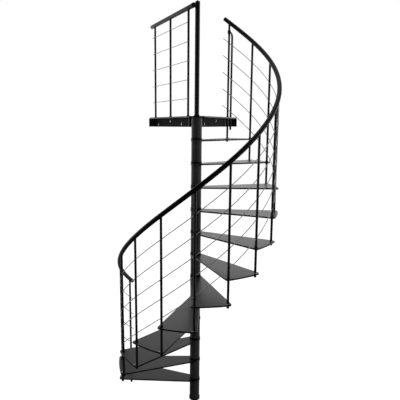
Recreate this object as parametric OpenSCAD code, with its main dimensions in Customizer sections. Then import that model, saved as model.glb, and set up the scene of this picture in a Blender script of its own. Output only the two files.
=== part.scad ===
// Modular spiral stair: twelve wedge treads threaded on a centre column, a landing at the top,
// and a helical handrail on balusters with five rods between them.
// Z is up, the origin is the middle of the base plate's underside, and the climb is anticlockwise.

/* [Climb] */
// Height from one tread to the next
riser = 228; // [190:1:275]
// Turn from one tread to the next, in degrees
step_turn = 22; // [18:1:26]
// Direction of the first baluster, in degrees from +X
first_angle = 159.5; // [0:0.5:360]

/* [Column] */
// Diameter of the spacer tubes
column_d = 102; // [84:1:120]
// Wall of the spacer tubes
column_wall = 4; // [2.5:0.5:5]
// Diameter of the rod that clamps the stack together
rod_d = 20; // [16:1:24]
// Base plate past the spacer tubes, all round
base_lip = 5; // [4:0.5:20]
// Thickness of the base plate
base_h = 30; // [20:1:36]
// Circle of the anchor holes in the base plate
anchor_pcd = 66; // [56:1:66]
// Diameter of the anchor holes
anchor_d = 11; // [9:1:13]

/* [Treads] */
// Diameter of the stair, through the corners of its treads
stair_d = 1600; // [1300:10:1950]
// Thickness of a tread
tread_t = 14; // [11:1:17]
// Tread's round hub past the spacer tubes, all round
hub_lip = 4; // [2:0.5:8]
// Radius of a tread's outer corners
corner_r = 26; // [14:1:28]
// How far a tread's outer edge bows out between its corners
edge_bow = 12; // [4:0.5:20]
// Distance from a baluster's middle to the tread's front edge
nose = 33; // [26:1:40]
// Distance from a baluster's middle to the tread's rear edge
tail = 28; // [24:1:34]

/* [Balusters] */
// Diameter of a baluster
baluster_d = 22; // [16:1:26]
// Distance from the baluster circle to the stair's outer edge
baluster_inset = 36; // [30:1:44]
// Length of baluster that reaches below the top of the tread it stands through
baluster_drop = 42; // [34:1:50]

/* [Handrail and rods] */
// Height of the handrail's middle above the front of each tread
rail_height = 995; // [840:5:1200]
// Diameter of the handrail
rail_d = 42; // [34:1:50]
// Turn of the handrail past the first and the last baluster, in degrees
rail_over = 4.6; // [3:0.1:6]
// Diameter of the horizontal rods
wire_d = 6; // [4:0.5:8]
// Number of rods
wire_count = 5; // [3:1:6]
// Height of the lowest rod above the front of each tread
wire_first = 82; // [60:1:100]
// Distance from one rod to the next
wire_gap = 176; // [146:1:190]
// Turn of the rods past the first and the last baluster, in degrees
wire_over = 5; // [3:0.1:6]

/* [Landing] */
// Distance from the column's axis to the landing's back edge
landing_depth = 885; // [700:5:1060]
// Direction of the landing's left side
landing_left = 117.4; // [108:0.2:124]
// Height of the landing's side plates and deck together
landing_h = 104; // [84:1:124]
// Thickness of the side and back plates
plate_t = 5; // [3:0.5:8]
// Distance from the column's axis to the line that the landing's balusters stand on
line_offset = 50; // [46:1:56]
// Deck past the line of the balusters
deck_lip = 30; // [24:1:36]
// Distances of the landing's balusters along their line
post_near = 86; // [70:1:100]
post_far = 917; // [740:1:930]
// Height of the landing's lowest rod above the deck
landing_wire_first = 167; // [140:1:200]
// Diameter of the wall fixing holes
fix_d = 13; // [11:1:14]
// Distance between the wall fixing holes
fix_gap = 420; // [300:10:500]

/* [Newel] */
// Diameter of the newel post
newel_d = 46; // [36:1:56]
// Height of the newel post above the deck
newel_height = 1026; // [1020:1:1250]

/* [Hidden] */
$fn = 96;
fit = 0.3;               // gap between pieces that seat on each other
hole_fit = 0.5;          // radial room of a rod or baluster in its hole
tread_count = 12;
stair_r = stair_d / 2;
hub_d = column_d + 2 * hub_lip;
base_d = column_d + 2 * base_lip;
baluster_r = stair_r - baluster_inset;
deck_top = tread_top(tread_count + 1);
deck_under = deck_top - tread_t;
landing_bottom = deck_top - landing_h;
rail_z = deck_top + rail_height;
rise_per_deg = riser / step_turn;
slope = atan2(riser, baluster_r * step_turn * PI / 180);
wire_top = wire_count - 1;
post_mid = (post_near + post_far) / 2;
landing_posts = [post_near, post_mid, post_far];
// The landing's right side is turned so that the last baluster stands on its line of posts
landing_right = angle_of(tread_count + 1) - 360 + asin(line_offset / baluster_r);
landing_rail_end = post_far + 99;
landing_wire_ends = [post_near - 26, post_far + 78];
plate_face = line_offset - baluster_d / 2 - 2;   // outer face of the landing's side plates
hook_gap = 103;          // from the last baluster to the hooked post
hook_bend = 45;          // radius of the hooked post's bend
hook_height = 898;       // height of the hooked end above the deck
hook_drop = 36;          // hooked post below the landing's side plates
clamp_h = 34;
clamp_wall = 6;
knuckle_d = rail_d + 6;  // ball joint a little thicker than the handrail it carries
cap_t = 6;
cap_dome = 6;
cap_shoulder_d = newel_d - 8;   // diameter half way up the cap's sloping top
knob_d = 16;
knob_h = 8;

function two(n) = n < 10 ? str("0", n) : str(n);
function angle_of(k) = first_angle + (k - 1) * step_turn;
function tread_top(k) = k * riser;
// Foot of baluster k: through the rear of the tread below, but the first stands on the floor
function foot_of(k) = max(tread_top(k - 1) - baluster_drop, 0);
function polar(r, a) = [r * cos(a), r * sin(a)];
function arc(c, r, a0, a1, n) = [for (i = [0:n]) c + polar(r, a0 + (a1 - a0) * i / n)];

// A point on one of the landing's sides: along its direction, then square to it
function on_side(dir, along, side) = polar(along, dir) + polar(side, dir + 90);
// Where that line meets the landing's back edge
function along_at(dir, side, y) = (y - side * sin(dir + 90)) / sin(dir);

// Outline of a wedge tread: its hub, two straight sides tangent to it, round corners and an
// outer edge that bows out a little. Baluster k is at angle 0 and baluster k + 1 at step_turn.
function tread_outline() =
    let (front = -asin((nose - corner_r) / (stair_r - corner_r)),
         rear = step_turn + asin((tail - corner_r) / (stair_r - corner_r)),
         mid = (front + rear) / 2,
         span = (step_turn + asin(nose / stair_r) + asin(tail / stair_r)) / 2,
         half_chord = stair_r * sin(span),
         edge_r = (half_chord * half_chord + edge_bow * edge_bow) / (2 * edge_bow),
         behind = edge_r - edge_bow - stair_r * cos(span),
         turn = (rear - front) / 2,
         reach = sqrt(pow(edge_r - corner_r, 2) - pow(behind * sin(turn), 2)) - behind * cos(turn),
         edge_turn = asin(reach * sin(turn) / (edge_r - corner_r)),
         lean = acos((hub_d / 2 - corner_r) / reach))
    concat(arc(polar(reach, front), corner_r, front - lean, mid - edge_turn, 10),
           arc(polar(-behind, mid), edge_r, mid - edge_turn * 0.96, mid + edge_turn * 0.96, 14),
           arc(polar(reach, rear), corner_r, mid + edge_turn, rear + lean, 10),
           arc([0, 0], hub_d / 2, rear + lean + 3, front - lean + 357, 24));

// A bar of round section between two angles of the helix, as an arc in the plane of its ends
module helix_bar(d, a0, a1, z0, trim = 0) {
    half = (a1 - a0) / 2;
    half_rise = half * rise_per_deg;
    side = baluster_r * sin(half);
    sag = baluster_r * (1 - cos(half));
    chord = norm([side, half_rise]);
    bend_r = (chord * chord + sag * sag) / (2 * sag);
    sweep = asin(chord / bend_r) - trim / bend_r * 180 / PI;
    rotate([0, 0, a0 + half])
        translate([baluster_r - bend_r, 0, z0 + half_rise])
            rotate([atan2(half_rise, side), 0, 0])
                rotate([0, 0, -sweep])
                    rotate_extrude(angle = 2 * sweep)
                        translate([bend_r, 0]) circle(d = d);
}

// One bar from before the first baluster to past the last, in lengths that meet at each baluster
module helix_run(d, height, over) {
    z_first = tread_top(1) + height;
    helix_bar(d, angle_of(1) - over, angle_of(1), z_first - over * rise_per_deg, fit / 2);
    for (k = [1:tread_count])
        helix_bar(d, angle_of(k), angle_of(k + 1), tread_top(k) + height, fit / 2);
    helix_bar(d, angle_of(tread_count + 1), angle_of(tread_count + 1) + over,
              tread_top(tread_count + 1) + height, fit / 2);
}

// Straight cylinder along the helix where it passes baluster k
module along_helix(k, height, d, len) {
    rotate([0, 0, angle_of(k)])
        translate([baluster_r, 0, tread_top(k) + height])
            rotate([slope, 0, 0]) rotate([90, 0, 0]) cylinder(d = d, h = len, center = true);
}

module base_plate() {
    color("#1c1d1f") difference() {
        cylinder(d = base_d, h = base_h - fit);
        for (a = [0:120:240])
            rotate([0, 0, a]) translate([anchor_pcd / 2, 0, -1]) cylinder(d = anchor_d, h = base_h + 2);
    }
}

module tension_rod() {
    color("#9a9c9e") translate([0, 0, base_h]) cylinder(d = rod_d, h = deck_under - fit - base_h);
}

module spacer_tubes() {
    color("#1f2123") for (k = [1:tread_count + 1]) {
        seat = k == 1 ? base_h : tread_top(k - 1);
        len = tread_top(k) - tread_t - seat - fit;
        translate([0, 0, seat])
            difference() {
                cylinder(d = column_d, h = len);
                translate([0, 0, -1]) cylinder(d = column_d - 2 * column_wall, h = len + 2);
            }
    }
}

module tread(k) {
    color("#4a4c4f") rotate([0, 0, angle_of(k)])
        translate([0, 0, tread_top(k) - tread_t])
            difference() {
                linear_extrude(tread_t - fit) polygon(tread_outline());
                translate([0, 0, -1]) cylinder(d = rod_d + 2 * hole_fit, h = tread_t + 2);
                for (a = [0, step_turn])
                    rotate([0, 0, a]) translate([baluster_r, 0, -1])
                        cylinder(d = baluster_d + 2 * hole_fit, h = tread_t + 2);
            }
}

module baluster(k) {
    color("#141516") difference() {
        rotate([0, 0, angle_of(k)]) translate([baluster_r, 0, foot_of(k)])
            cylinder(d = baluster_d, h = tread_top(k) + rail_height - foot_of(k));
        along_helix(k, rail_height, rail_d + 2 * fit, 6 * baluster_d);
        for (i = [0:wire_top])
            along_helix(k, wire_first + i * wire_gap, wire_d + 2 * hole_fit, 3 * baluster_d);
    }
}

module handrail() {
    color("#26282a") helix_run(rail_d, rail_height, rail_over);
}

module wire(i) {
    color("#9fa1a3") helix_run(wire_d, wire_first + i * wire_gap, wire_over);
}

module landing_deck() {
    lip = line_offset + deck_lip;
    left = on_side(landing_left, along_at(landing_left, lip, landing_depth), lip);
    right = on_side(landing_right, along_at(landing_right, -lip, landing_depth), -lip);
    left_near = on_side(landing_left, 0, lip);
    right_near = on_side(landing_right, 0, -lip);
    color("#3a3c3f") translate([0, 0, deck_under])
        difference() {
            linear_extrude(tread_t)
                polygon(concat([left, left_near],
                               arc([0, 0], hub_d / 2 + 6, landing_left + 90, landing_right + 270, 16),
                               [right_near, right]));
            for (p = landing_posts)
                translate(concat(on_side(landing_left, p, line_offset), [-1]))
                    cylinder(d = baluster_d + 2 * hole_fit, h = tread_t + 2);
            translate(concat(polar(baluster_r, angle_of(tread_count + 1)), [-1]))
                cylinder(d = baluster_d + 2 * hole_fit, h = tread_t + 2);
            translate(concat(hook_place(), [-1]))
                cylinder(d = baluster_d + 2 * hole_fit, h = tread_t + 2);
        }
}

// The hooked post stands past the last baluster, in the direction of the landing's right side
function hook_place() = polar(baluster_r, angle_of(tread_count + 1)) + polar(hook_gap, landing_right);

module side_plate(dir, face) {
    far = along_at(dir, face, landing_depth - plate_t - fit);
    inner = face - sign(face) * plate_t;
    color("#1b1c1e") translate([0, 0, landing_bottom])
        difference() {
            linear_extrude(landing_h - tread_t - fit)
                polygon([on_side(dir, 0, face), on_side(dir, 0, inner),
                         on_side(dir, along_at(dir, inner, landing_depth - plate_t - fit), inner),
                         on_side(dir, far, face)]);
            translate([0, 0, -1]) cylinder(d = column_d + 2 * fit, h = landing_h + 2);
        }
}

module back_plate() {
    lip = line_offset + deck_lip;
    x0 = on_side(landing_left, along_at(landing_left, lip, landing_depth), lip)[0];
    x1 = on_side(landing_right, along_at(landing_right, -lip, landing_depth), -lip)[0];
    plate_h = landing_h - tread_t - fit;
    color("#1b1c1e") difference() {
        translate([x0, landing_depth - plate_t, landing_bottom]) cube([x1 - x0, plate_t, plate_h]);
        for (s = [-1, 1])
            translate([(x0 + x1) / 2 + s * fix_gap / 2, landing_depth - plate_t - 1,
                       landing_bottom + plate_h / 2])
                rotate([-90, 0, 0]) cylinder(d = fix_d, h = plate_t + 2);
    }
}

// One straight bar above the landing's left side
module side_bar(from, to, z, d) {
    translate(concat(on_side(landing_left, from, line_offset), [z]))
        rotate([0, 0, landing_left]) rotate([0, 90, 0]) cylinder(d = d, h = to - from);
}

module landing_balusters() {
    color("#141516") for (p = landing_posts)
        difference() {
            translate(concat(on_side(landing_left, p, line_offset), [deck_top - baluster_drop / 2]))
                cylinder(d = baluster_d, h = rail_height + baluster_drop / 2);
            side_bar(p - baluster_d, p + baluster_d, rail_z, rail_d + 2 * fit);
            for (i = [0:wire_top])
                side_bar(p - baluster_d, p + baluster_d, deck_top + landing_wire_first + i * wire_gap,
                         wire_d + 2 * hole_fit);
        }
}

module landing_handrail() {
    color("#3a3c3e") side_bar(knuckle_d / 2 + fit, landing_rail_end, rail_z, rail_d);
}

module landing_wires() {
    color("#9fa1a3") for (i = [0:wire_top])
        side_bar(landing_wire_ends[0], landing_wire_ends[1],
                 deck_top + landing_wire_first + i * wire_gap, wire_d);
}

module newel_post() {
    color("#141516") translate([0, 0, deck_top + fit])
        cylinder(d = newel_d, h = newel_height - fit);
}

module newel_cap() {
    color("#1b1c1e") translate([0, 0, deck_top + newel_height + fit]) union() {
        cylinder(d = newel_d, h = cap_t);
        translate([0, 0, cap_t])
            cylinder(d1 = newel_d, d2 = cap_shoulder_d, h = cap_dome / 2);
        translate([0, 0, cap_t + cap_dome / 2])
            cylinder(d1 = cap_shoulder_d, d2 = knob_d, h = cap_dome / 2);
        cylinder(d = knob_d, h = cap_t + cap_dome + knob_h);
    }
}

// Ball joint that carries the landing's handrail on the newel post
module rail_knuckle() {
    ball = on_side(landing_left, 0, line_offset);
    color("#0f1011") difference() {
        union() {
            translate(concat(ball, [rail_z])) sphere(d = knuckle_d);
            translate([0, 0, rail_z]) rotate([0, 0, landing_left + 90]) rotate([0, 90, 0])
                cylinder(d = knuckle_d / 2, h = line_offset);
        }
        translate([0, 0, rail_z]) cylinder(d = newel_d + 2 * fit, h = 2 * knuckle_d, center = true);
    }
}

// Post beside the last baluster: its top bends over and ends in a clamp on that baluster
module hooked_post() {
    top = deck_top + hook_height;
    foot = landing_bottom - hook_drop;
    color("#1b1c1e") translate(concat(hook_place(), [0])) rotate([0, 0, landing_right + 180]) union() {
        translate([0, 0, foot]) cylinder(d = baluster_d, h = top - hook_bend - foot);
        translate([hook_bend, 0, top - hook_bend]) rotate([90, 0, 0]) rotate([0, 0, 90])
            rotate_extrude(angle = 90) translate([hook_bend, 0]) circle(d = baluster_d);
        translate([hook_bend, 0, top]) rotate([0, 90, 0])
            cylinder(d = baluster_d, h = hook_gap - hook_bend - baluster_d / 2 - clamp_wall - fit);
    }
}

module post_clamp() {
    color("#0f1011") translate(concat(polar(baluster_r, angle_of(tread_count + 1)),
                                      [deck_top + hook_height - clamp_h / 2]))
        difference() {
            cylinder(d = baluster_d + 2 * clamp_wall, h = clamp_h);
            translate([0, 0, -1]) cylinder(d = baluster_d + fit, h = clamp_h + 2);
        }
}

base_plate();
tension_rod();
spacer_tubes();
for (k = [1:tread_count])
    tread(k);
for (k = [1:tread_count + 1])
    baluster(k);
handrail();
for (i = [0:wire_top])
    wire(i);
landing_deck();
side_plate(landing_left, plate_face);  // landing_left_plate
side_plate(landing_right, -plate_face);  // landing_right_plate
back_plate();  // landing_back_plate
landing_balusters();
landing_handrail();
landing_wires();  // landing_rods
newel_post();
newel_cap();
rail_knuckle();
hooked_post();
post_clamp();
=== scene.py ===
# %% [markdown]
# # A modular spiral stair, dressed for the studio
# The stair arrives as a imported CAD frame. We load it, look at its sizes, and then build the
# surfaces that a close look needs: folded treads, turned column sleeves, one smooth helical
# handrail, steel rods, collars and screws. Everything stays in the frame's own coordinates,
# in metres, so a new piece goes where the CAD node already is.

# %% Load the frame
import math

import bpy
import numpy as np
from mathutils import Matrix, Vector


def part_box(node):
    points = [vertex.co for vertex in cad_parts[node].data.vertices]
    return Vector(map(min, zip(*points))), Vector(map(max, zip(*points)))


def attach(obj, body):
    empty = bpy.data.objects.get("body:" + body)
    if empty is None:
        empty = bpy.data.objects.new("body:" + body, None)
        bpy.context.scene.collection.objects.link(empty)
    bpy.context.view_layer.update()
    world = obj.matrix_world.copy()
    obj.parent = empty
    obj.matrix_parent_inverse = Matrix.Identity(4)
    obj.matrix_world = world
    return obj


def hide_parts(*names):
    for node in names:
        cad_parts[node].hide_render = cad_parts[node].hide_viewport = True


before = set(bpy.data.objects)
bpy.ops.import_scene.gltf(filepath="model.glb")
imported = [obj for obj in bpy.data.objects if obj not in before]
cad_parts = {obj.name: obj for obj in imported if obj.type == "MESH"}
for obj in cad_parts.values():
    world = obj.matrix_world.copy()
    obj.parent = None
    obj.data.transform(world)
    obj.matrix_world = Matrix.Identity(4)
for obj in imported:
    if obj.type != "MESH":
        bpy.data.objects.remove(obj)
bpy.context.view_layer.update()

scene = bpy.context.scene

# %% [markdown]
# ## Reading the sizes
# A stair is a rhythm: the same rise and the same turn from one tread to the next. Rather than
# repeat the CAD's numbers, we measure them on the nodes: the middles of the balusters give the
# turn and the radius, the tops of the treads give the rise.


# %% Sizes measured on the frame
def middle(node):
    low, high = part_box(node)
    return (np.array(low) + np.array(high)) / 2


def top_of(node):
    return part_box(node)[1].z


TREADS = 12
BALUSTERS = TREADS + 1
RODS = 5
rise = (top_of("tread_12") - top_of("tread_01")) / (TREADS - 1)
first = middle("baluster_01")
last = middle("baluster_13")
baluster_ring = math.hypot(first[0], first[1])
first_angle = math.atan2(first[1], first[0])
turn = (math.atan2(last[1], last[0]) + 2 * math.pi - first_angle) / TREADS
baluster_r = (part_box("baluster_01")[1].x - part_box("baluster_01")[0].x) / 2
column_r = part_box("spacer_tubes")[1].x
deck_top = top_of("landing_deck")
rail_height = middle("landing_handrail")[2] - deck_top
# the air that is left where one part of the stack sits on another
fit = 0.0003
tread_t = top_of("tread_01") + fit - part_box("tread_01")[0].z
print(f"rise {rise:.4f} m, turn {math.degrees(turn):.2f} deg, baluster ring {baluster_ring:.3f} m")


def tread_top(k):
    """The top of tread k is k rises above the floor."""
    return k * rise


def angle_of(k):
    """Baluster k stands k - 1 treads' turns further round than the first."""
    return first_angle + (k - 1) * turn


def at_baluster(k, z=0.0):
    """On the baluster ring: radius times cos and sin of the baluster's angle."""
    return np.array([baluster_ring * math.cos(angle_of(k)),
                     baluster_ring * math.sin(angle_of(k)), z])


# %% [markdown]
# ## The camera and the light
# The stair is seen from about the height of its landing, slightly turned and tipped down, with
# the lens shifted sideways so that the column stays left of the middle. Three large soft panels
# light it. The room is white to the camera, but what the paint mirrors is bright only behind
# the stair and dim in front of it, and that gives the black parts their form.

# %% Camera
camera_data = bpy.data.cameras.new("camera")
camera = bpy.data.objects.new("camera", camera_data)
scene.collection.objects.link(camera)
scene.camera = camera
camera_yaw = math.radians(2.85)
camera_pitch = math.radians(9.62)
camera.location = (0, -4.317, 2.8775)
camera.rotation_euler = (math.pi / 2 - camera_pitch, 0, camera_yaw)
camera_data.sensor_width = 36
camera_data.lens = 39.76
camera_data.shift_x = 0.0641
print("camera lens", camera_data.lens, "mm")


# %% Helpers that add and link nodes
def node_of(tree, kind, **values):
    """A new node; each value goes to the input of that name, or else to the node's setting."""
    node = tree.nodes.new(kind)
    for key, value in values.items():
        if key in node.inputs:
            node.inputs[key].default_value = value
        else:
            setattr(node, key, value)
    return node


def ramp_between(tree, given, reached, **settings):
    """A map range node that turns the first pair of values into the second pair."""
    ramp = node_of(tree, "ShaderNodeMapRange", **settings)
    for name, value in zip(("From Min", "From Max", "To Min", "To Max"), (*given, *reached)):
        ramp.inputs[name].default_value = value
    return ramp


def wire(tree, *pairs):
    """Links each output to the input beside it."""
    for source, target in pairs:
        tree.links.new(source, target)


# %% World
scene.view_settings.view_transform = "Standard"
world = bpy.data.worlds.new("studio")
scene.world = world
world.use_nodes = True
room = world.node_tree
room.nodes.clear()
WHITE = (1, 1, 1, 1)
seen = node_of(room, "ShaderNodeBackground", Color=WHITE, Strength=1.0)
lit = node_of(room, "ShaderNodeBackground", Color=WHITE)
# the backdrop behind the stair is bright near the horizon; the room in front is dim
direction = node_of(room, "ShaderNodeTexCoord")
split = node_of(room, "ShaderNodeSeparateXYZ")
behind = ramp_between(room, (-0.45, 0.85), (0.14, 1.92), interpolation_type="SMOOTHSTEP")
upward = ramp_between(room, (0.08, 0.55), (1.0, 0.10))
level = node_of(room, "ShaderNodeMath", operation="MULTIPLY")
ray = node_of(room, "ShaderNodeLightPath")
pick = node_of(room, "ShaderNodeMixShader")
room_out = node_of(room, "ShaderNodeOutputWorld")
wire(room,
     (direction.outputs["Generated"], split.inputs[0]),
     (split.outputs["Y"], behind.inputs["Value"]),
     (split.outputs["Z"], upward.inputs["Value"]),
     (behind.outputs["Result"], level.inputs[0]),
     (upward.outputs["Result"], level.inputs[1]),
     (level.outputs[0], lit.inputs["Strength"]),
     (ray.outputs["Is Camera Ray"], pick.inputs["Fac"]),
     (lit.outputs[0], pick.inputs[1]),
     (seen.outputs[0], pick.inputs[2]),
     (pick.outputs[0], room_out.inputs["Surface"]))
print("world nodes:", len(room.nodes))


# %% Soft panels
def soft_panel(name, place, aim, size, watts):
    """A rectangular light that stands at place and faces aim."""
    data = bpy.data.lights.new(name, "AREA")
    data.shape = "RECTANGLE"
    data.size, data.size_y = size
    data.energy = watts
    panel = bpy.data.objects.new(name, data)
    scene.collection.objects.link(panel)
    panel.location = place
    panel.rotation_euler = (Vector(aim) - Vector(place)).to_track_quat("-Z", "Y").to_euler()


soft_panel("panel_above", (0.3, 1.2, 6.6), (0, 0, 1.5), (5.0, 4.0), 70)
soft_panel("panel_right", (4.6, -1.0, 3.0), (0, 0, 1.8), (2.4, 4.5), 40)
soft_panel("panel_left", (-4.6, 0.5, 3.0), (0, 0, 1.8), (2.0, 4.5), 25)
print("panels:", [light.name for light in bpy.data.lights])

# %% [markdown]
# ## The floor
# A wide round sheet of pale paper, made as rings of points about the column. It is only the
# stage, not part of the stair. The camera sees it burnt out to white, with a glow that grows
# towards the rim, so that it fades into the white room with no line at the horizon.


# %% Floor
def disc_grid(reach, rings, spokes):
    """Ring i has radius reach * (i / rings) squared, so the rings are closest in the middle."""
    radius = reach * (np.arange(1, rings + 1) / rings) ** 2
    a = np.arange(spokes) * 2 * math.pi / spokes
    grid = np.zeros((rings, spokes, 3))
    grid[..., 0] = radius[:, None] * np.cos(a)
    grid[..., 1] = radius[:, None] * np.sin(a)
    return grid


floor_reach, floor_rings, floor_spokes = 14.0, 12, 64
disc = disc_grid(floor_reach, floor_rings, floor_spokes)
i, j = np.meshgrid(np.arange(floor_rings - 1), np.arange(floor_spokes), indexing="ij")
beside = (j + 1) % floor_spokes
quads = np.stack([i * floor_spokes + j, (i + 1) * floor_spokes + j,
                  (i + 1) * floor_spokes + beside, i * floor_spokes + beside], -1)
floor_mesh = bpy.data.meshes.new("floor")
floor_mesh.from_pydata(disc.reshape(-1, 3).tolist(), [],
                       quads.reshape(-1, 4).tolist() + [list(range(floor_spokes))])
floor = bpy.data.objects.new("floor", floor_mesh)
scene.collection.objects.link(floor)
print("floor points:", len(floor_mesh.vertices))

# %% Paper of the floor
paper = bpy.data.materials.new("pale_paper")
paper.use_nodes = True
paper_tree = paper.node_tree
paper_tree.nodes.clear()
matt = node_of(paper_tree, "ShaderNodeBsdfDiffuse", Color=(0.30, 0.30, 0.30, 1))
spot_on = node_of(paper_tree, "ShaderNodeTexCoord")
far_off = node_of(paper_tree, "ShaderNodeVectorMath", operation="LENGTH")
fade = ramp_between(paper_tree, (0.8, 3.5), (0.95, 1.0))
glow = node_of(paper_tree, "ShaderNodeEmission")
lit_paper = node_of(paper_tree, "ShaderNodeAddShader")
# the camera sees paper burnt out to white; what the stair mirrors is bright only behind it
axes = node_of(paper_tree, "ShaderNodeSeparateXYZ")
far_back = ramp_between(paper_tree, (0.2, 2.5), (0.0, 0.8))
back_glow = node_of(paper_tree, "ShaderNodeEmission")
mirrored = node_of(paper_tree, "ShaderNodeAddShader")
paper_ray = node_of(paper_tree, "ShaderNodeLightPath")
paper_pick = node_of(paper_tree, "ShaderNodeMixShader")
paper_out = node_of(paper_tree, "ShaderNodeOutputMaterial")
wire(paper_tree,
     (spot_on.outputs["Object"], far_off.inputs[0]),
     (far_off.outputs["Value"], fade.inputs["Value"]),
     (fade.outputs["Result"], glow.inputs["Strength"]),
     (matt.outputs[0], lit_paper.inputs[0]),
     (glow.outputs[0], lit_paper.inputs[1]),
     (spot_on.outputs["Object"], axes.inputs[0]),
     (axes.outputs["Y"], far_back.inputs["Value"]),
     (far_back.outputs["Result"], back_glow.inputs["Strength"]),
     (matt.outputs[0], mirrored.inputs[0]),
     (back_glow.outputs[0], mirrored.inputs[1]),
     (paper_ray.outputs["Is Camera Ray"], paper_pick.inputs["Fac"]),
     (mirrored.outputs[0], paper_pick.inputs[1]),
     (lit_paper.outputs[0], paper_pick.inputs[2]),
     (paper_pick.outputs[0], paper_out.inputs["Surface"]))
floor_mesh.materials.append(paper)
print("paper nodes:", len(paper_tree.nodes))

# %% [markdown]
# ## Finishes
# Powder coat is never perfectly flat: it has a fine orange peel, and its gloss drifts a little
# across a panel. One node group makes that drift, the peel and a little dust, and every painted
# material places it with its own values. The group only hands out a colour, a roughness and a
# height; the shader itself stays in the material, where the uniform values are set directly.


# %% Powder coat group
def powder_group():
    """Slow noise drifts the tone and the gloss, fine noise is the peel, patchy noise the dust."""
    group = bpy.data.node_groups.new("powder_coat", "ShaderNodeTree")
    face = group.interface
    face.new_socket("Vector", in_out="INPUT", socket_type="NodeSocketVector")
    for name, value in (("Shade", 1.0), ("Gloss Drift", 0.06), ("Roughness", 0.4),
                        ("Peel Scale", 900.0), ("Dust", 0.0)):
        face.new_socket(name, in_out="INPUT", socket_type="NodeSocketFloat").default_value = value
    face.new_socket("Paint", in_out="INPUT", socket_type="NodeSocketColor")
    face.new_socket("Color", in_out="OUTPUT", socket_type="NodeSocketColor")
    face.new_socket("Roughness", in_out="OUTPUT", socket_type="NodeSocketFloat")
    face.new_socket("Height", in_out="OUTPUT", socket_type="NodeSocketFloat")
    tree, links = group, group.links
    given = node_of(tree, "NodeGroupInput")
    result = node_of(tree, "NodeGroupOutput")
    # slow drift of tone and gloss, about two hands' breadths across
    slow = node_of(tree, "ShaderNodeTexNoise", Scale=5.0, Detail=3.0)
    links.new(given.outputs["Vector"], slow.inputs["Vector"])
    # the orange peel, a millimetre or so across
    peel = node_of(tree, "ShaderNodeTexNoise", Detail=2.0)
    links.new(given.outputs["Vector"], peel.inputs["Vector"])
    links.new(given.outputs["Peel Scale"], peel.inputs["Scale"])
    # dust settles in soft patches
    patch = node_of(tree, "ShaderNodeTexNoise", Scale=22.0, Detail=5.0)
    links.new(given.outputs["Vector"], patch.inputs["Vector"])
    centred = node_of(tree, "ShaderNodeMath", operation="SUBTRACT")
    links.new(slow.outputs["Fac"], centred.inputs[0])
    centred.inputs[1].default_value = 0.5
    drift = node_of(tree, "ShaderNodeMath", operation="MULTIPLY_ADD")
    links.new(centred.outputs[0], drift.inputs[0])
    links.new(given.outputs["Gloss Drift"], drift.inputs[1])
    links.new(given.outputs["Roughness"], drift.inputs[2])
    dusty = node_of(tree, "ShaderNodeMath", operation="MULTIPLY")
    links.new(patch.outputs["Fac"], dusty.inputs[0])
    links.new(given.outputs["Dust"], dusty.inputs[1])
    rough = node_of(tree, "ShaderNodeMath", operation="ADD", use_clamp=True)
    links.new(drift.outputs[0], rough.inputs[0])
    links.new(dusty.outputs[0], rough.inputs[1])
    links.new(rough.outputs[0], result.inputs["Roughness"])
    # tone: the paint, a few per cent lighter or darker with the drift, then the dust over it
    tone = node_of(tree, "ShaderNodeMath", operation="MULTIPLY_ADD")
    links.new(centred.outputs[0], tone.inputs[0])
    tone.inputs[1].default_value = 0.35
    links.new(given.outputs["Shade"], tone.inputs[2])
    toned = node_of(tree, "ShaderNodeVectorMath", operation="SCALE")
    links.new(given.outputs["Paint"], toned.inputs[0])
    links.new(tone.outputs[0], toned.inputs["Scale"])
    grey = node_of(tree, "ShaderNodeMix", data_type="RGBA")
    grey.inputs[7].default_value = (0.30, 0.29, 0.27, 1)
    links.new(dusty.outputs[0], grey.inputs[0])
    links.new(toned.outputs[0], grey.inputs[6])
    links.new(grey.outputs[2], result.inputs["Color"])
    links.new(peel.outputs["Fac"], result.inputs["Height"])
    return group


POWDER = powder_group()
print("group sockets:", [s.name for s in POWDER.interface.items_tree])


# %% Painted materials
def painted(name, paint, roughness, peel=900.0, bump=0.05, drift=0.08, dust=0.0, shine=0.5):
    """A material whose colour, roughness and bumps come from the powder coat group."""
    material = bpy.data.materials.new(name)
    material.use_nodes = True
    tree = material.node_tree
    shader = tree.nodes["Principled BSDF"]
    place = node_of(tree, "ShaderNodeTexCoord")
    coat_node = node_of(tree, "ShaderNodeGroup", node_tree=POWDER)
    for key, value in (("Gloss Drift", drift), ("Roughness", roughness),
                       ("Peel Scale", peel), ("Dust", dust)):
        coat_node.inputs[key].default_value = value
    coat_node.inputs["Paint"].default_value = (*paint, 1)
    tree.links.new(place.outputs["Object"], coat_node.inputs["Vector"])
    tree.links.new(coat_node.outputs["Color"], shader.inputs["Base Color"])
    tree.links.new(coat_node.outputs["Roughness"], shader.inputs["Roughness"])
    bumps = node_of(tree, "ShaderNodeBump", Strength=bump, Distance=0.0004)
    tree.links.new(coat_node.outputs["Height"], bumps.inputs["Height"])
    tree.links.new(bumps.outputs["Normal"], shader.inputs["Normal"])
    shader.inputs["Specular IOR Level"].default_value = shine
    return material


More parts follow.
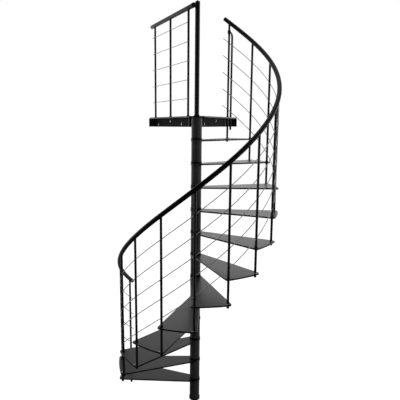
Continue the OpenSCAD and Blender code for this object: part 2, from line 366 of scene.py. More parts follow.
tread_top_paint = painted("tread_powder", (0.020, 0.0205, 0.0213), 0.36, bump=0.12, dust=0.03,
                          shine=0.62)
# painted shade: the rim, lip and underside of a tread take a far darker copy of the tread paint
tread_rim_shade_paint = painted("tread_rim_painted_shade_powder", (0.0025, 0.0025, 0.0027), 0.34, bump=0.10, shine=0.2)
column_paint = painted("column_powder", (0.100, 0.1010, 0.1045), 0.34, bump=0.08, shine=0.10)
baluster_paint = painted("baluster_powder", (0.004, 0.004, 0.0045), 0.40, bump=0.06, shine=0.35)
handrail_paint = painted("handrail_powder", (0.005, 0.005, 0.0055), 0.42, bump=0.06, shine=0.15)
landing_paint = painted("landing_powder", (0.008, 0.008, 0.0088), 0.60, bump=0.12, shine=0.02)
# painted light: the back plate is the side plates' black paint made many times lighter, to fill in
# the light its shaded face lacks
back_plate_painted_light = painted("back_plate_painted_light_powder", (0.060, 0.0606, 0.0630), 0.55, bump=0.12,
                           shine=0.05)
black_plastic = painted("moulded_plastic", (0.003, 0.003, 0.003), 0.55, peel=1500.0, bump=0.10,
                        shine=0.2)
rubber = painted("foot_rubber", (0.0015, 0.0015, 0.0015), 0.80, peel=700.0, bump=0.15, shine=0.08)
print("paints:", [m.name for m in bpy.data.materials if m.name.endswith("_powder")])

# %% [markdown]
# ## Metals
# The rods are drawn stainless steel: fine lines run along them, which stretches the highlight
# across. A rod has its own path, so the lines follow an attribute that holds the length along
# the piece and the angle around it. Screws and anchors are zinc plated, with a faint spangle.


# %% Metal materials
def metal(name, colour, roughness, stretch):
    """Bare metal with noise in its gloss: lines that run along the piece, or an even spangle."""
    material = bpy.data.materials.new(name)
    material.use_nodes = True
    tree = material.node_tree
    shader = tree.nodes["Principled BSDF"]
    shader.inputs["Metallic"].default_value = 1.0
    lines = node_of(tree, "ShaderNodeTexNoise", Scale=1.0, Detail=4.0)
    if stretch:
        place = node_of(tree, "ShaderNodeAttribute", attribute_name="along_round")
        scaled = node_of(tree, "ShaderNodeVectorMath", operation="MULTIPLY")
        scaled.inputs[1].default_value = (14.0, 60.0, 1.0)
        wire(tree, (place.outputs["Vector"], scaled.inputs[0]),
             (scaled.outputs[0], lines.inputs["Vector"]))
    else:
        place = node_of(tree, "ShaderNodeTexCoord")
        lines.inputs["Scale"].default_value = 260.0
        tree.links.new(place.outputs["Object"], lines.inputs["Vector"])
    ramp = node_of(tree, "ShaderNodeMapRange")
    ramp.inputs["To Min"].default_value = roughness - 0.08
    ramp.inputs["To Max"].default_value = roughness + 0.10
    tree.links.new(lines.outputs["Fac"], ramp.inputs["Value"])
    tree.links.new(ramp.outputs["Result"], shader.inputs["Roughness"])
    shade = node_of(tree, "ShaderNodeMix", data_type="RGBA")
    shade.inputs[6].default_value = (*[c * 0.82 for c in colour], 1)
    shade.inputs[7].default_value = (*colour, 1)
    tree.links.new(lines.outputs["Fac"], shade.inputs[0])
    tree.links.new(shade.outputs[2], shader.inputs["Base Color"])
    bumps = node_of(tree, "ShaderNodeBump", Strength=0.08, Distance=0.0002)
    tree.links.new(lines.outputs["Fac"], bumps.inputs["Height"])
    tree.links.new(bumps.outputs["Normal"], shader.inputs["Normal"])
    return material


rod_steel = metal("drawn_steel", (0.86, 0.865, 0.87), 0.85, True)
zinc = metal("zinc_plate", (0.62, 0.62, 0.60), 0.30, False)
print("metals:", rod_steel.name, zinc.name)

# %% [markdown]
# ## Surfaces from grids
# Every new piece is a grid of points. A row of the grid is a closed ring, and the rings follow
# each other along the piece. Quads join neighbouring rings, and a flat cap closes each end, or
# the last ring joins the first one. A turned piece, a swept tube and a folded sheet are all
# rings; only the way to compute the points differs.


# %% Rings into a shell
def shell(rings, loop=False):
    """Quads between neighbouring rings. Ring i, point j joins ring i + 1, point j + 1, counted
    round; with loop the last ring joins the first, else a flat cap closes each end."""
    rings = np.asarray(rings, float)
    n, m = rings.shape[:2]
    rows = np.arange(n if loop else n - 1)
    i, j = np.meshgrid(rows, np.arange(m), indexing="ij")
    following = (i + 1) % n
    beside = (j + 1) % m
    quads = np.stack([i * m + j, i * m + beside, following * m + beside, following * m + j], -1)
    faces = quads.reshape(-1, 4).tolist()
    if not loop:
        faces.append(list(range(m))[::-1])
        faces.append(list(range((n - 1) * m, n * m)))
    return rings.reshape(-1, 3), faces


# %% A finished piece
def make_piece(name, shells, material, stands_for=(), sharp=35.0, second=None,
               choose=None, along=None):
    """Joins shells into one mesh object at the origin, hangs it on the root body and hides the
    CAD nodes that it stands for. With a second material, choose(normals) picks the faces that
    take it. The marks in along are kept on the points, for the lines of drawn metal."""
    points, faces, base = [], [], 0
    for p, f in shells:
        points.append(p)
        faces.extend([[v + base for v in face] for face in f])
        base += len(p)
    mesh = bpy.data.meshes.new(name)
    mesh.from_pydata(np.concatenate(points).tolist(), [], faces)
    mesh.update()
    mesh.shade_smooth()
    mesh.set_sharp_from_angle(angle=math.radians(sharp))
    mesh.materials.append(material)
    if second is not None:
        mesh.materials.append(second)
        normals = np.zeros(len(mesh.polygons) * 3, np.float32)
        mesh.polygons.foreach_get("normal", normals)
        chosen = choose(normals.reshape(-1, 3)).astype(np.int32)
        mesh.polygons.foreach_set("material_index", chosen)
    if along is not None:
        attribute = mesh.attributes.new("along_round", "FLOAT_VECTOR", "POINT")
        attribute.data.foreach_set("vector", np.concatenate(along).astype(np.float32).ravel())
    piece = bpy.data.objects.new(name, mesh)
    scene.collection.objects.link(piece)
    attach(piece, "root")
    if stands_for:
        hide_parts(*stands_for)
    return piece


# %% Paint on a CAD node
def repaint(node_name, paint):
    """A CAD node that stays in view takes this paint in place of its plain one."""
    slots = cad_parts[node_name].data.materials
    slots.clear()
    slots.append(paint)


# %% [markdown]
# ## Turned pieces
# Column sleeves, collars, caps and screw heads are round, so a lathe's way of thinking suits
# them: a short list of radius and height pairs, carried round an axis. Ready-made cylinders
# with a bevel would come close, but a profile also gives the socket, the bore and the washer.


# %% The lathe
def unit(v):
    """Each vector divided by its length."""
    v = np.asarray(v, float)
    return v / np.linalg.norm(v, axis=-1, keepdims=True)


def square_to(direction):
    """Two unit directions square to the given one, so that first x second = direction."""
    direction = unit(direction)
    helper = np.array([1.0, 0, 0]) if abs(direction[0]) < 0.9 else np.array([0, 1.0, 0])
    one = unit(helper - direction * helper.dot(direction))
    return one, np.cross(direction, one)


def turned(profile, at, out=(0, 0, 1), sides=64, loop=False):
    """Each (radius, height) pair becomes the ring at + height * out + radius * (cos a, sin a)
    in the plane square to out."""
    profile = np.asarray(profile, float)
    out = unit(out)
    one, two = square_to(out)
    a = np.arange(sides) * 2 * math.pi / sides
    circle = np.cos(a)[:, None] * one + np.sin(a)[:, None] * two
    rings = (np.asarray(at, float) + profile[:, None, 1:2] * out
             + profile[:, None, 0:1] * circle[None])
    return shell(rings, loop)


def rounded(radius, low, high, soft, steps=5, inner=0.0):
    """Profile of a disc or sleeve whose two outer corners are quarter circles of radius soft,
    with an inner radius for a bore."""
    t = np.linspace(0, math.pi / 2, steps)
    lower = np.stack([radius - soft + soft * np.sin(t), low + soft - soft * np.cos(t)], 1)
    upper = np.stack([radius - soft + soft * np.cos(t), high - soft + soft * np.sin(t)], 1)
    return np.concatenate([[[inner, low]], lower, upper, [[inner, high]]])


# %% [markdown]
# ## Column
# The column is a stack of sleeves with a tread's hub clamped between each pair. Where two
# parts meet there is a narrow shadow line, and the sleeves' ends are rolled over a little so
# that the paint doesn't chip. The foot is a heavy turned flange that stands on a rubber pad.
# One long cylinder would be simpler, but it would lose those lines, and they are what tells the
# eye that the stair is built up from parts.

# %% Column sleeves and foot
AXIS = (0, 0, 0)
COLUMN_SIDES = 96
base_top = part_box("base_plate")[1].z + fit
wall = 0.004
hub_step = 0.004
hub_r = column_r + hub_step
sleeves = []
for k in range(1, BALUSTERS + 1):
    low = base_top if k == 1 else tread_top(k - 1)
    high = tread_top(k) - tread_t - fit
    outer = rounded(column_r, low, high, 0.0016, 4, column_r - wall)
    sleeves.append(turned(outer, AXIS, sides=COLUMN_SIDES, loop=True))
make_piece("column_sleeves", sleeves, column_paint, ["spacer_tubes"])

foot_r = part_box("base_plate")[1].x
foot_top = base_top - fit
foot_bore = 0.010
pad_h = 0.0165
pad_profile = np.array([
    [foot_bore, 0.0], [foot_r - 0.0030, 0.0], [foot_r - 0.0010, 0.0010],
    [foot_r - 0.0004, 0.0030], [foot_r - 0.0004, pad_h - 0.0010], [foot_r - 0.0014, pad_h],
    [foot_bore, pad_h]])
make_piece("column_foot_pad", [turned(pad_profile, AXIS, sides=COLUMN_SIDES)], rubber)
foot_profile = np.array([
    [foot_bore, pad_h], [foot_r - 0.0012, pad_h], [foot_r, pad_h + 0.0010],
    [foot_r, base_top - 0.0040], [foot_r - 0.0008, base_top - 0.0016],
    [foot_r - 0.0024, foot_top], [foot_bore, foot_top]])
make_piece("column_foot", [turned(foot_profile, AXIS, sides=COLUMN_SIDES)], column_paint,
           ["base_plate"])
repaint("tension_rod", zinc)
print("column radius", round(column_r, 4), "sleeves", len(sleeves))

# %% [markdown]
# ## Treads
# Each tread is a steel sheet folded down round its edge into a shallow tray. Its outline is a
# wedge: a round hub, two straight sides, two round corners and a slightly bowed outer edge. A
# list of (inset, height) pairs carried round that outline makes the tray: inside the hollow,
# under the folded lip, up the rim and over a rolled edge on to the top. A solid wedge with a
# bevel looks the same from above, but from below the fold and the ribs show.


# %% Tread outline
def arc(centre, radius, start, end, steps):
    """Points at centre + radius * (cos a, sin a), and those directions as outward normals."""
    a = np.linspace(start, end, steps + 1)
    return np.stack([centre[0] + radius * np.cos(a), centre[1] + radius * np.sin(a)], 1), \
        np.stack([np.cos(a), np.sin(a)], 1)


def tread_outline():
    """The wedge in plan, with its outward normals: arcs of circles tangent to straight sides.
    The corner circles touch the bowed edge's circle from inside."""
    stair_r, corner, bow, nose, tail = 0.7999, 0.026, 0.012, 0.033, 0.028
    edge_share, hub_gap = 0.97, 0.05
    front = -math.asin((nose - corner) / (stair_r - corner))
    rear = turn + math.asin((tail - corner) / (stair_r - corner))
    mid = (front + rear) / 2
    span = (turn + math.asin(nose / stair_r) + math.asin(tail / stair_r)) / 2
    half = stair_r * math.sin(span)
    edge_r = (half ** 2 + bow ** 2) / (2 * bow)
    behind = edge_r - bow - stair_r * math.cos(span)
    side = (rear - front) / 2
    reach = (math.sqrt((edge_r - corner) ** 2 - (behind * math.sin(side)) ** 2)
             - behind * math.cos(side))
    edge_turn = math.asin(reach * math.sin(side) / (edge_r - corner))
    lean = math.acos((hub_r - corner) / reach)

    def out(r, a):
        return (r * math.cos(a), r * math.sin(a))

    sides = [arc(out(reach, front), corner, front - lean, mid - edge_turn, 14),
             arc(out(-behind, mid), edge_r, mid - edge_turn * edge_share,
                 mid + edge_turn * edge_share, 20),
             arc(out(reach, rear), corner, mid + edge_turn, rear + lean, 14),
             arc((0, 0), hub_r, rear + lean + hub_gap, front - lean + 2 * math.pi - hub_gap, 30)]
    return np.concatenate([p[0] for p in sides]), np.concatenate([p[1] for p in sides])


plan, plan_out = tread_outline()
print("tread outline points:", len(plan))


# %% The folded tray
def tray(points, outward, profile, turned_by, z):
    """Ring i is the outline moved in by profile[i][0] and up by profile[i][1], then turned
    about the column."""
    c, s = math.cos(turned_by), math.sin(turned_by)
    rings = []
    for inset, height in profile:
        flat = points - outward * inset
        x = flat[:, 0] * c - flat[:, 1] * s
        y = flat[:, 0] * s + flat[:, 1] * c
        rings.append(np.stack([x, y, np.full(len(x), z + height)], 1))
    return shell(np.array(rings))


def tray_profile(thick, sheet, lip, soft):
    """From the hollow's ceiling down its wall, round the folded lip, up the rim and over the
    rolled edge: pairs of inset and height below the top."""
    t = np.linspace(0, math.pi / 2, 5)
    roll = [(soft - soft * math.cos(a), -soft + soft * math.sin(a)) for a in t]
    return ([(sheet + 0.0015, -sheet), (sheet, -sheet - 0.0015), (sheet, -thick + sheet),
             (lip, -thick + sheet), (lip + 0.0010, -thick + sheet - 0.0010),
             (lip, -thick), (0.0020, -thick), (0.0006, -thick + 0.0006), (0.0, -thick + 0.0020)]
            + roll + [(soft + 0.0015, 0.0)])


def bar(start, end, width, low, high, soft=0.0010):
    """A straight bar of rectangular section with bevelled edges, as rings along its length."""
    start, end = np.asarray(start, float), np.asarray(end, float)
    along = unit(end - start)
    side = np.array([-along[1], along[0], 0.0])
    w, s = width / 2, soft
    section = [(w, low + s), (w, high - s), (w - s, high), (-w + s, high), (-w, high - s),
               (-w, low + s), (-w + s, low), (w - s, low)]
    rings = []
    for at, shrink in ((start, s), (start + along * s, 0), (end - along * s, 0), (end, s)):
        rings.append([at + side * (a * (w - shrink) / w) + np.array([0, 0, z]) for a, z in section])
    return shell(np.array(rings))


# %% Twelve treads
sheet_t, lip_w, roll_r = 0.0028, 0.013, 0.0024
rim = tray_profile(tread_t, sheet_t, lip_w, roll_r)
hub_bore, hub_ring_h = 0.012, 0.021
rib_shares, rib_w, rib_reach = (0.28, 0.72), 0.026, 0.776
rib_low, rib_high = 0.0010 - tread_t, -0.0030


def takes_painted_shade(normals):
    """The faces that don't look up: the rim, the folded lip and the hollow below, which take the
    darker paint as painted shade.
    """
    return normals[:, 2] < 0.80


hubs, hub_collars = [], []
for k in range(1, TREADS + 1):
    z = tread_top(k) - fit
    shells = [tray(plan, plan_out, rim, angle_of(k), z)]
    for share in rib_shares:
        a = angle_of(k) + turn * share
        direction = np.array([math.cos(a), math.sin(a), 0])
        shells.append(bar(direction * (hub_r - 0.006), direction * rib_reach, rib_w,
                          z + rib_low, z + rib_high))
    # the faces that don't look up take the darker copy of the paint, a painted shade
    make_piece(f"tread_{k:02d}_sheet", shells, tread_top_paint,
               [f"tread_{k:02d}"], sharp=40, second=tread_rim_shade_paint, choose=takes_painted_shade)
    hub = rounded(hub_r + 0.0006, z - tread_t + 0.0002, z - 0.0003, 0.0008, 3, hub_bore)
    hubs.append(turned(hub, AXIS, sides=COLUMN_SIDES, loop=True))
    ring = rounded(hub_r - 0.0012, z, z + hub_ring_h, 0.0025, 4, column_r + 0.0002)
    hub_collars.append(turned(ring, AXIS, sides=COLUMN_SIDES, loop=True))
make_piece("tread_hubs", hubs, column_paint)
make_piece("hub_collars", hub_collars, black_plastic)
print("treads folded:", TREADS, "hubs:", len(hubs))

# %% [markdown]
# ## Balusters and their fittings
# The balusters keep their CAD bodies, because the cross holes for the rods are real there.
# What they lack is the hardware: plastic collars above and below each tread, a plug in the
# open lower end, and a screw in the tread beside the baluster that pulls it tight. They are
# turned like the column's parts, and joined into one piece for each material.


# %% Shapes of collars and screws
def collar(at, low, high):
    """A plastic sleeve round a baluster, with rounded outer corners."""
    profile = rounded(baluster_r + 0.0035, low, high, 0.0012, 4, baluster_r + 0.0002)
    return turned(profile, at, sides=40, loop=True)


def pan_head(at, out, radius, height):
    """A pan head screw: a low dome over a short edge, with a round socket sunk in it, on a
    thin washer. The dome's radius goes as a cosine and its height as a sine."""
    t = np.linspace(0, 1, 5)
    dome = np.stack([radius * np.cos(t * 1.05), height * (0.45 + 0.55 * np.sin(t * 1.5))], 1)
    top = dome[-1, 1]
    socket = [[radius * 0.42, top], [radius * 0.40, top * 0.45], [radius * 0.05, top * 0.40]]
    head = np.concatenate([[[radius * 0.98, 0.0006], [radius, height * 0.25]], dome, socket])
    washer = [[radius * 0.2, 0.0], [radius * 1.45, 0.0], [radius * 1.5, 0.0004],
              [radius * 1.45, 0.0009], [radius * 0.2, 0.0009]]
    return [turned(washer, at, out, 24), turned(head, at, out, 24)]

# %% Collars, plugs and screws on the treads
collar_h, nut_h = 0.009, 0.007
screw_out, screw_before = 0.018, 0.015
screw_r, screw_h = 0.0064, 0.0046
plug = np.array([
    [0.0006, 0.0002], [baluster_r - 0.0045, 0.0002], [baluster_r - 0.0012, 0.0012],
    [baluster_r + 0.0006, 0.0040], [baluster_r + 0.0006, 0.0090], [baluster_r + 0.0002, 0.0096]])
fittings, screws = [], []
for k in range(1, TREADS + 1):
    front, rear = at_baluster(k), at_baluster(k + 1)
    top, under = tread_top(k), tread_top(k) - tread_t
    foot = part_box(f"baluster_{k + 1:02d}")[0].z
    fittings.append(collar(front, top, top + collar_h))
    fittings += [collar(spot, under - nut_h, under) for spot in (front, rear)]
    fittings.append(turned(plug, rear + (0, 0, foot - 0.0002), sides=40))
    out_by = rear / baluster_ring
    before = np.array([out_by[1], -out_by[0], 0])
    screws += pan_head(rear + out_by * screw_out + before * screw_before + (0, 0, top - fit),
                       (0, 0, 1), screw_r, screw_h)
make_piece("baluster_collars", fittings, black_plastic)
make_piece("tread_screws", screws, zinc, sharp=30)
print("collars and plugs:", len(fittings), "screw parts:", len(screws))

# %% CAD nodes that stay in view
in_baluster_paint = [f"baluster_{k:02d}" for k in range(1, BALUSTERS + 1)]
in_baluster_paint += ["landing_balusters", "newel_post"]
for node_name in in_baluster_paint:
    repaint(node_name, baluster_paint)
repaint("landing_left_plate", landing_paint)
repaint("landing_right_plate", landing_paint)
# the back plate takes the lightened paint, a painted light on its shaded face
repaint("landing_back_plate", back_plate_painted_light)
print("CAD nodes in baluster paint:", len(in_baluster_paint))

# %% [markdown]
# ## The helical handrail and rods
# A helix is the path of a point that turns about the column while it climbs. The handrail and
# the rods are circles carried along such a path. The tube could be bent from short arcs, as
# the CAD has it, but one long sweep has no joints, which is how the real rail looks. Its ends
# close in shallow domes.


# %% Sweeping a circle along a path
DOME_STEPS = 5


def carried(path, across, radius):
    """Ring i is the circle of radius[i] about path[i], in the plane square to the path. The
    direction across gives the first point of each ring. Also returns, for every point, the
    length along the path and the share of the way round, which drawn metal follows."""
    path, radius = np.asarray(path, float), np.asarray(radius, float)
    tangent = unit(np.gradient(path, axis=0))
    across = np.broadcast_to(across, path.shape)
    across = unit(across - tangent * (across * tangent).sum(1, keepdims=True))
    up = np.cross(tangent, across)
    # a thin rod needs fewer points round it than a tube
    sides = 40 if radius.max() > 0.008 else 14
    a = np.arange(sides) * 2 * math.pi / sides
    rings = (path[:, None] + radius[:, None, None]
             * (np.cos(a)[None, :, None] * across[:, None] + np.sin(a)[None, :, None] * up[:, None]))
    length = np.concatenate([[0], np.cumsum(np.linalg.norm(np.diff(path, axis=0), axis=1))])
    marks = np.zeros(rings.shape)
    marks[..., 0] = length[:, None]
    marks[..., 1] = (a / (2 * math.pi))[None]
    return shell(rings), marks.reshape(-1, 3)


def domed(path, radius, depth):
    """Adds both ends' domes: points that go on along the path by depth * sin(t) while the
    radius shrinks as cos(t)."""
    path = np.asarray(path, float)
    t = np.linspace(0, 1.48, DOME_STEPS + 1)[1:]
    head = unit(path[0] - path[1])
    tail = unit(path[-1] - path[-2])
    start = path[0] + depth * np.sin(t)[::-1, None] * head
    end = path[-1] + depth * np.sin(t)[:, None] * tail
    sizes = np.concatenate([radius * np.cos(t)[::-1], np.full(len(path), radius),
                            radius * np.cos(t)])
    return np.concatenate([start, path, end]), sizes


def helix(height, over, steps_per_turn=144):
    """Points at the baluster ring: the angle grows evenly, and the height with it."""
    start, end = angle_of(1) - over, angle_of(BALUSTERS) + over
    a = np.linspace(start, end, int((end - start) / (2 * math.pi) * steps_per_turn) + 1)
    z = tread_top(1) + height + (a - angle_of(1)) / turn * rise
    outward = np.stack([np.cos(a), np.sin(a), np.zeros_like(a)], 1)
    return outward * baluster_ring + np.stack([0 * a, 0 * a, z], 1), outward


def swept_helix(height, over, radius, depth):
    """A circle carried along the helix, with a dome on each end: the shell, the marks for
    drawn metal and the middle line."""
    line, outward = helix(height, over)
    path, sizes = domed(line, radius, depth)
    near, far = np.repeat(outward[:1], DOME_STEPS, 0), np.repeat(outward[-1:], DOME_STEPS, 0)
    tube, marks = carried(path, np.concatenate([near, outward, far]), sizes)
    return tube, marks, line


# %% Handrail
rail_r = (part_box("landing_handrail")[1].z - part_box("landing_handrail")[0].z) / 2
rail_dome = 0.010
# the rail runs about this many metres for each radian that it turns
metres_per_radian = 0.97
rail_over = math.radians(4.6) - rail_dome / metres_per_radian
tube, _, rail_line = swept_helix(rail_height, rail_over, rail_r, rail_dome)
make_piece("handrail_tube", [tube], handrail_paint, ["handrail"], sharp=60)
rail_steps = np.linalg.norm(np.diff(rail_line, axis=0), axis=1)
print("handrail length", round(float(rail_steps.sum()), 2), "m")

# %% Rods through the balusters
rod_r, rod_dome = 0.0037, 0.002
rod_low, rod_gap = 0.082, 0.176
rod_over = math.radians(5.0) - rod_dome
for i in range(RODS):
    tube, marks, _ = swept_helix(rod_low + rod_gap * i, rod_over, rod_r, rod_dome)
    make_piece(f"rod_{i + 1}_drawn", [tube], rod_steel, [f"rod_line_{i + 1}"],
               sharp=60, along=[marks])
print("rods:", RODS)

# %% [markdown]
# ## Landing
# The landing is one more folded tray, cut square at the back where it meets the upper floor.
# Plates stand under its sides, set in from the edge so that the last baluster can pass in front
# of them. Their bolts are ordinary button heads on washers. The deck's outline is worked out
# from the directions of its two sides, so the tray that folds a tread folds the deck as well.

# %% Landing directions
line_offset = 0.050
deck_edge = 0.080
left_dir = math.radians(117.4)
right_dir = math.asin(line_offset / baluster_ring) + angle_of(BALUSTERS) - 2 * math.pi
landing_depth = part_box("landing_deck")[1].y
deck_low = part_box("landing_deck")[0].z
plate_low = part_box("landing_left_plate")[0].z
print("landing sides at", round(math.degrees(left_dir), 1), round(math.degrees(right_dir), 1))


def on_side(direction, along, side, z=0.0):
    """A point along one of the landing's sides, then square to it."""
    return np.array([along * math.cos(direction) - side * math.sin(direction),
                     along * math.sin(direction) + side * math.cos(direction), z])


def along_at(direction, side, y):
    """How far along the side, at this distance square to it, the given y is reached."""
    return (y - side * math.cos(direction)) / math.sin(direction)


# %% Landing deck
def polygon_normals(points):
    """Outward normals at the corners of an anticlockwise polygon, scaled so that moving each
    corner by its normal moves both its edges by one."""
    before = np.roll(points, 1, 0)
    after = np.roll(points, -1, 0)
    e1, e2 = unit(points - before), unit(after - points)
    n1 = np.stack([e1[:, 1], -e1[:, 0]], 1)
    n2 = np.stack([e2[:, 1], -e2[:, 0]], 1)
    return (n1 + n2) / (1 + (n1 * n2).sum(1, keepdims=True))


deck_hub = hub_r + 0.006
notch = 0.02
round_part, _ = arc((0, 0), deck_hub, left_dir + math.pi / 2 + notch,
                    right_dir + 1.5 * math.pi - notch, 22)
deck_plan = np.concatenate([
    [on_side(left_dir, along_at(left_dir, deck_edge, landing_depth), deck_edge)[:2]],
    [on_side(left_dir, 0, deck_edge)[:2]], round_part,
    [on_side(right_dir, 0, -deck_edge)[:2]],
    [on_side(right_dir, along_at(right_dir, -deck_edge, landing_depth), -deck_edge)[:2]]])
rib_inset, deck_rib_w = 0.030, 0.040
shells = [tray(deck_plan, polygon_normals(deck_plan), rim, 0.0, deck_top)]
for y in (0.28, 0.50, 0.72):
    x0 = on_side(left_dir, along_at(left_dir, rib_inset, y), rib_inset)[0]
    x1 = on_side(right_dir, along_at(right_dir, -rib_inset, y), -rib_inset)[0]
    shells.append(bar((x0, y, 0), (x1, y, 0), deck_rib_w, deck_low + 0.0010, deck_top - 0.0030))
# the deck's rim, lip and underside take the darker copy of the paint, a painted shade
make_piece("landing_tray", shells, tread_top_paint, ["landing_deck"], sharp=40,
           second=tread_rim_shade_paint, choose=takes_painted_shade)
print("deck outline points:", len(deck_plan))

# %% [markdown]
# The side plates are flat bars in the frame. Their lower edges are folded inwards for
# stiffness. Dark strips close their ends and are put there as painted shade, for the shadow in
# the gaps: beside the column on the left, beside the last baluster on the right, and at the two
# back corners. Bolts hold the deck's frame to them.

# %% Plate folds and shade strips
plate_t, fold_w, fold_t = 0.005, 0.022, 0.004
plate_face = line_offset - baluster_r - 0.002
plate_top = deck_low - fit
folds, shade_strips = [], []
for direction, sign in ((left_dir, 1), (right_dir, -1)):
    far = along_at(direction, sign * plate_face, landing_depth - 0.006)
    inner = sign * (plate_face - plate_t - fold_w / 2)
    folds.append(bar(on_side(direction, 0.075, inner), on_side(direction, far - 0.012, inner),
                     fold_w, plate_low, plate_low + fold_t))
make_piece("plate_folds", folds, landing_paint)

back_low, back_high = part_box("landing_back_plate")
# the dark strips paint the shadow in the gaps at the plates' ends and the back corners
shade_strip_low, shade_strip_high = plate_low + 0.001, plate_top - 0.001
for x in (back_low.x + 0.0025, back_high.x - 0.0025):
    shade_strips.append(bar((x, landing_depth - 0.045, 0), (x, landing_depth - 0.0055, 0), 0.005,
                      shade_strip_low, shade_strip_high))
for direction, near, far, side, width in (
        (left_dir, 0.047, 0.068, plate_face + 0.0105, 0.019),
        (right_dir, 0.690, 0.732, -plate_face - 0.003, 0.006)):
    shade_strips.append(bar(on_side(direction, near, side), on_side(direction, far, side), width,
                      shade_strip_low, shade_strip_high))
make_piece("plate_end_shade_strips", shade_strips, black_plastic)
print("folds:", len(folds), "strips:", len(shade_strips))

# %% Plate bolts
bolt_high, bolt_low = plate_top - 0.030, plate_low + 0.028
bolt_r, bolt_h = 0.0075, 0.0050
wall_bolt_r, wall_bolt_h, wall_bolt_x = 0.0095, 0.0070, 0.21
left_spots = ((0.26, bolt_low), (0.54, bolt_high), (0.865, bolt_low))
right_spots = ((0.105, bolt_low), (0.43, bolt_high))
bolts = []
for direction, sign, spots in ((left_dir, 1, left_spots), (right_dir, -1, right_spots)):
    out = on_side(direction, 0, sign)
    for along, z in spots:
        bolts += pan_head(on_side(direction, along, sign * plate_face, z), out, bolt_r, bolt_h)
back_middle = (back_low.x + back_high.x) / 2
for x in (back_middle - wall_bolt_x, back_middle + wall_bolt_x):
    bolts += pan_head((x, landing_depth - plate_t, (plate_low + plate_top) / 2), (0, -1, 0),
                      wall_bolt_r, wall_bolt_h)
make_piece("landing_bolts", bolts, zinc, sharp=30)
print("bolts:", len(bolts) // 2)

# %% [markdown]
# ## Landing rail
# The landing's handrail is straight and rests on three balusters. It ends in a drum joint on
# the newel post, and its rods stop just past the outer balusters. A straight line is a path
# like any other, so the sweep that makes the helix makes these too, with the same domed ends.


# %% Straight rail and rods
def straight_path(start, end, count):
    """Evenly spaced points from start to end."""
    return np.linspace(np.asarray(start, float), np.asarray(end, float), count)


upright = np.array([0.0, 0.0, 1.0])
post_near, post_far = 0.086, 0.917
post_mid = (post_near + post_far) / 2
landing_rail_z = deck_top + rail_height
rail_near, rail_far = 0.002, post_far + 0.099
landing_dome = 0.008
straight_rail = straight_path(
    on_side(left_dir, rail_near + landing_dome, line_offset, landing_rail_z),
    on_side(left_dir, rail_far - landing_dome, line_offset, landing_rail_z), 12)
path, sizes = domed(straight_rail, rail_r, landing_dome)
tube, _ = carried(path, upright, sizes)
make_piece("landing_rail_tube", [tube], handrail_paint, ["landing_handrail"],
           sharp=60)

landing_rod_low = 0.167
rod_near, rod_far = post_near - 0.024, post_far + 0.076
shells, marks = [], []
for i in range(RODS):
    z = deck_top + landing_rod_low + rod_gap * i
    line = straight_path(on_side(left_dir, rod_near, line_offset, z),
                         on_side(left_dir, rod_far, line_offset, z), 8)
    path, sizes = domed(line, rod_r, rod_dome)
    tube, mark = carried(path, upright, sizes)
    shells.append(tube)
    marks.append(mark)
make_piece("landing_rods_drawn", shells, rod_steel, ["landing_rods"], sharp=60,
           along=marks)
print("landing rail length", round(rail_far - rail_near, 3), "m, rods:", len(shells))

# %% Collars and screws on the landing
collars, edge_screws = [], []
left_out = on_side(left_dir, 0, 1)
for p in (post_near, post_mid, post_far):
    collars.append(collar(on_side(left_dir, p, line_offset), deck_top, deck_top + collar_h))
    edge = on_side(left_dir, p, deck_edge - 0.0002, deck_top - tread_t / 2)
    edge_screws += pan_head(edge, left_out, 0.0042, 0.0030)
last_spot = at_baluster(BALUSTERS)
collars.append(collar(last_spot, deck_top, deck_top + collar_h))
make_piece("landing_collars", collars, black_plastic)
make_piece("landing_screws", edge_screws, zinc, sharp=30)
print("landing collars:", len(collars))

# %% [markdown]
# ## Newel cap, ball joint, hooked post and clamp
# Small moulded and turned fittings finish the top: a cap with soft shoulders and a centre
# button, a drum on a neck that carries the rail, and a post that hooks over to the last
# baluster and is held there by a clamp in two halves. The post's bend is a quarter circle in
# its path; the rest are profiles on the lathe, set on their own axes.

# %% Newel cap
newel_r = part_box("newel_post")[1].x
cap_low, cap_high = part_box("newel_cap")[0].z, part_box("newel_cap")[1].z
cap_soft, shoulder_h = 0.0055, 0.0050
knob_r, knob_low, knob_h = 0.008, cap_low + 0.0118, 0.0058
t = np.linspace(0, math.pi / 2, 7)
shoulder = np.stack([newel_r - cap_soft + cap_soft * np.cos(t),
                     cap_low + cap_soft + shoulder_h * np.sin(t)], 1)
cap_profile = np.concatenate([
    [[0.001, cap_low], [newel_r - 0.0006, cap_low], [newel_r, cap_low + 0.0006]], shoulder,
    [[knob_r + 0.002, knob_low], [0.001, knob_low]]])
knob_t = np.linspace(0, math.pi / 2, 6)[:-1]
knob_profile = np.concatenate([
    [[0.001, knob_low - 0.001], [knob_r, knob_low - 0.001]],
    np.stack([knob_r * np.cos(knob_t), cap_high - 0.0060 + knob_h * np.sin(knob_t)], 1)])
make_piece("newel_cap_turned", [turned(cap_profile, AXIS)], black_plastic,
           ["newel_cap"], sharp=50)
make_piece("newel_cap_button", [turned(knob_profile, AXIS, sides=32)], handrail_paint,
           sharp=50)
newel_ring = rounded(newel_r + 0.005, deck_top, deck_top + 0.012, 0.0016, 4, newel_r + 0.0002)
make_piece("newel_collar", [turned(newel_ring, AXIS, loop=True)], black_plastic)
print("newel radius", round(newel_r, 4), "cap", round(cap_low, 3), "to", round(cap_high, 3))

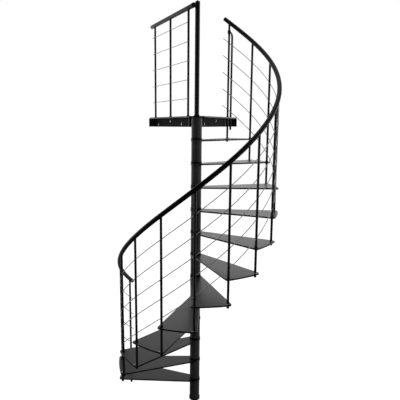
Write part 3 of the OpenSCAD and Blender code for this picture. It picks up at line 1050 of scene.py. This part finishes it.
# %% Rail joint on the newel
joint_shift, drum_half = 0.007, 0.0170
along_left = on_side(left_dir, 1, 0)
joint = on_side(left_dir, -joint_shift, line_offset, landing_rail_z)
joint_r = (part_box("rail_knuckle")[1].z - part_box("rail_knuckle")[0].z) / 2
drum = rounded(joint_r - 0.0008, -drum_half, drum_half, 0.003, 5, 0.002)
reach = math.hypot(joint[0], joint[1])
inward = np.array([-joint[0], -joint[1], 0]) / reach
neck_start = reach - newel_r + 0.0005
neck = np.array([[0.0115, 0.012], [0.0095, 0.018], [0.0095, neck_start - 0.004],
                 [0.0115, neck_start]])
make_piece("rail_joint", [turned(drum, joint, along_left, 48), turned(neck, joint, inward, 32)],
           black_plastic, ["rail_knuckle"], sharp=45)
make_piece("rail_joint_screw",
           pan_head(joint - along_left * drum_half, -along_left, 0.005, 0.0035),
           black_plastic, sharp=30)
print("joint stands", round(reach, 4), "m from the column's axis")

# %% Hooked post
hook_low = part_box("hooked_post")[0].z
hook_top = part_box("hooked_post")[1].z - baluster_r
hook_foot = last_spot + on_side(right_dir, 0.103, 0)
to_baluster = -on_side(right_dir, 1, 0)
bend = 0.045
hook_dome = 0.004
clamp_r = baluster_r + 0.006
t = np.linspace(0, math.pi / 2, 15)[1:]
bend_start = hook_foot + (0, 0, hook_top - bend)
rise_line = straight_path(hook_foot + (0, 0, hook_low + hook_dome), bend_start, 10)
bend_line = (bend_start + (bend - bend * np.cos(t))[:, None] * to_baluster
             + (bend * np.sin(t))[:, None] * upright)
end_point = last_spot - to_baluster * (clamp_r + fit) + (0, 0, hook_top)
run = straight_path(bend_line[-1], end_point, 6)[1:-1]
hook_path = np.concatenate([rise_line, bend_line, run])
path, sizes = domed(hook_path, baluster_r, hook_dome)
tube, _ = carried(path, np.cross(to_baluster, upright), sizes)
make_piece("hooked_tube", [tube], baluster_paint, ["hooked_post"], sharp=60)
print("hooked post path points:", len(hook_path))

# %% Clamp
clamp_low, clamp_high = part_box("post_clamp")[0].z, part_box("post_clamp")[1].z
clamp_mid = (clamp_low + clamp_high) / 2
clamp_split = 0.0006
halves = []
for low, high in ((clamp_low, clamp_mid - clamp_split), (clamp_mid + clamp_split, clamp_high)):
    half = rounded(clamp_r, low, high, 0.0018, 4, baluster_r + 0.0002)
    halves.append(turned(half, last_spot, sides=48, loop=True))
make_piece("clamp_halves", halves, black_plastic, ["post_clamp"], sharp=45)
print("clamp halves:", len(halves))
